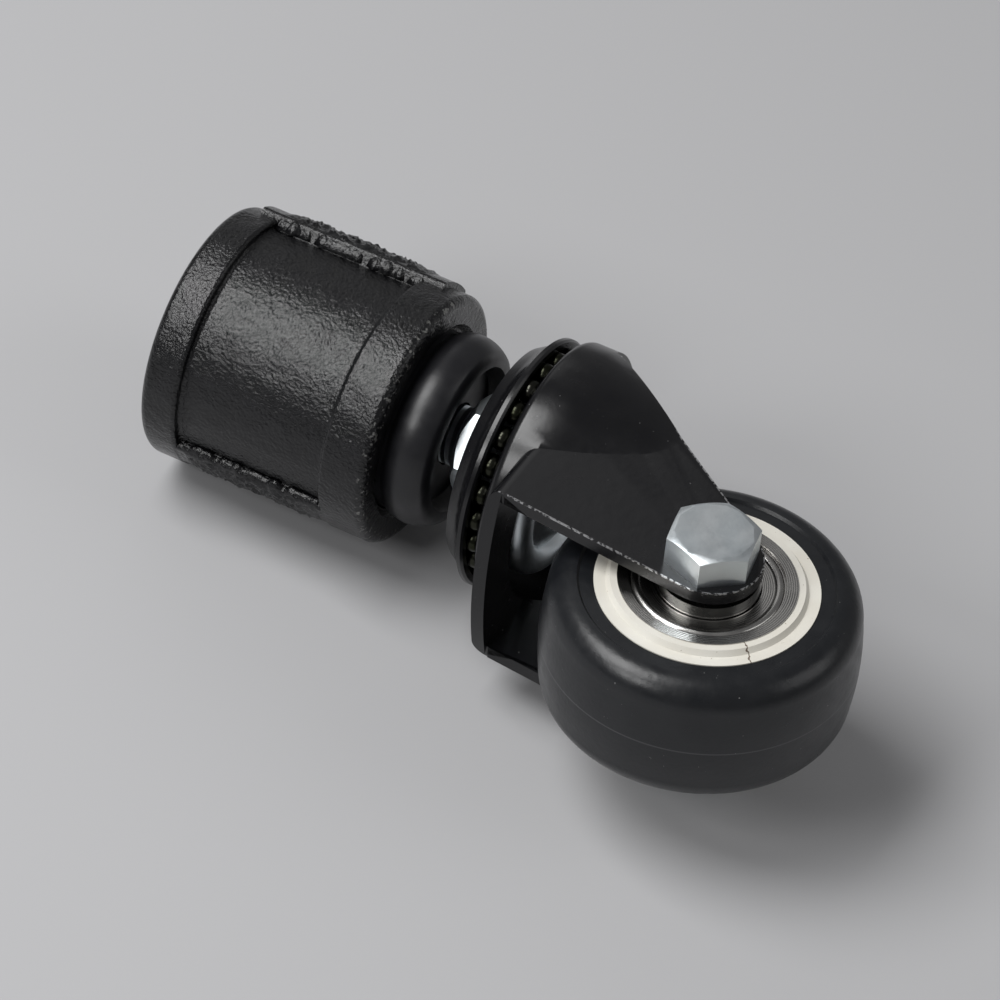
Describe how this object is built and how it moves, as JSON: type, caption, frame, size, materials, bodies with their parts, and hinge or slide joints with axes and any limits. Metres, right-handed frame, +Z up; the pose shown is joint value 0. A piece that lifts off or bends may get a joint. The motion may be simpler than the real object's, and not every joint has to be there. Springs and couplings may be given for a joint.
{
  "type": "levelling castor",
  "caption": "Swivel castor for pipe furniture: cast pipe socket, screwed levelling stem, balls under a race plate, pressed fork and a tyred wheel on ball bearings.",
  "frame": {"origin": "centre of the pipe socket's mouth, on the coupling's top face", "axes": "+Z up out of the pipe socket along the stem and swivel axis, +Y along the axle away from the bolt head, the wheel trails towards -X"},
  "size_m": [0.0672, 0.0503, 0.1249],
  "materials": {
    "black_cast_iron": "malleable cast iron under black paint, rough as cast",
    "black_plug_plastic": "satin black moulded nylon",
    "zinc_steel": "bright blue-white zinc plate on steel",
    "ball_steel": "polished steel balls, greased",
    "black_enamel": "glossy black enamel on pressed steel, chipped along the sheared edges",
    "lock_ring_plastic": "nylon locking ring",
    "turned_steel": "turned steel",
    "bearing_steel": "ground bearing steel and pressed shields",
    "cage_steel": "pressed steel cage",
    "tyre": "smooth black polyurethane",
    "white_nylon": "off-white moulded nylon"
  },
  "bodies": {
    "socket": {"pipe_coupling": "black_cast_iron", "stem_plug": "black_plug_plastic", "captive_nut": "zinc_steel"},
    "ball_rings": {"upper_balls": "ball_steel", "lower_balls": "ball_steel"},
    "stem": {"threaded_stem": "zinc_steel", "top_plate": "black_enamel", "lower_race_cup": "zinc_steel"},
    "fork": {"fork": "black_enamel", "axle_bolt": "zinc_steel", "axle_nut": "zinc_steel", "nut_lock_ring": "lock_ring_plastic", "axle_bush_near": "turned_steel", "axle_bush_far": "turned_steel", "bearing_spacer": "turned_steel", "bearing_inner_ring_near": "bearing_steel", "bearing_inner_ring_far": "bearing_steel"},
    "wheel": {"tyre": "tyre", "wheel_hub": "white_nylon", "bearing_outer_ring_near": "bearing_steel", "bearing_outer_ring_far": "bearing_steel", "bearing_shields_near": "bearing_steel", "bearing_shields_far": "bearing_steel"},
    "cages": {"bearing_balls_near": "ball_steel", "bearing_balls_far": "ball_steel", "ball_cage_near": "cage_steel", "ball_cage_far": "cage_steel"}
  },
  "joints": [
    {"name": "level_travel", "type": "slide", "parent": "socket", "child": "ball_rings", "axis": [0, 0, -1], "range_m": [-0.002, 0.01]},
    {"name": "stem_turn", "type": "hinge", "parent": "ball_rings", "child": "stem", "pos_m": [0, 0, -0.05], "axis": [0, 0, -1], "range_deg": [-480.5, 2400.5]},
    {"name": "swivel", "type": "hinge", "parent": "ball_rings", "child": "fork", "pos_m": [0, 0, -0.0607], "axis": [0, 0, 1], "continuous": true},
    {"name": "wheel_spin", "type": "hinge", "parent": "fork", "child": "wheel", "pos_m": [-0.0202, 0, -0.0999], "axis": [0, 1, 0], "continuous": true},
    {"name": "cage_spin", "type": "hinge", "parent": "fork", "child": "cages", "pos_m": [-0.0202, 0, -0.0999], "axis": [0, 1, 0], "continuous": true}
  ],
  "couplings": [
    {"joint": "stem_turn", "follows": "level_travel", "rad_per_m": 4188.8},
    {"joint": "cage_spin", "follows": "wheel_spin", "ratio": 0.618}
  ]
}
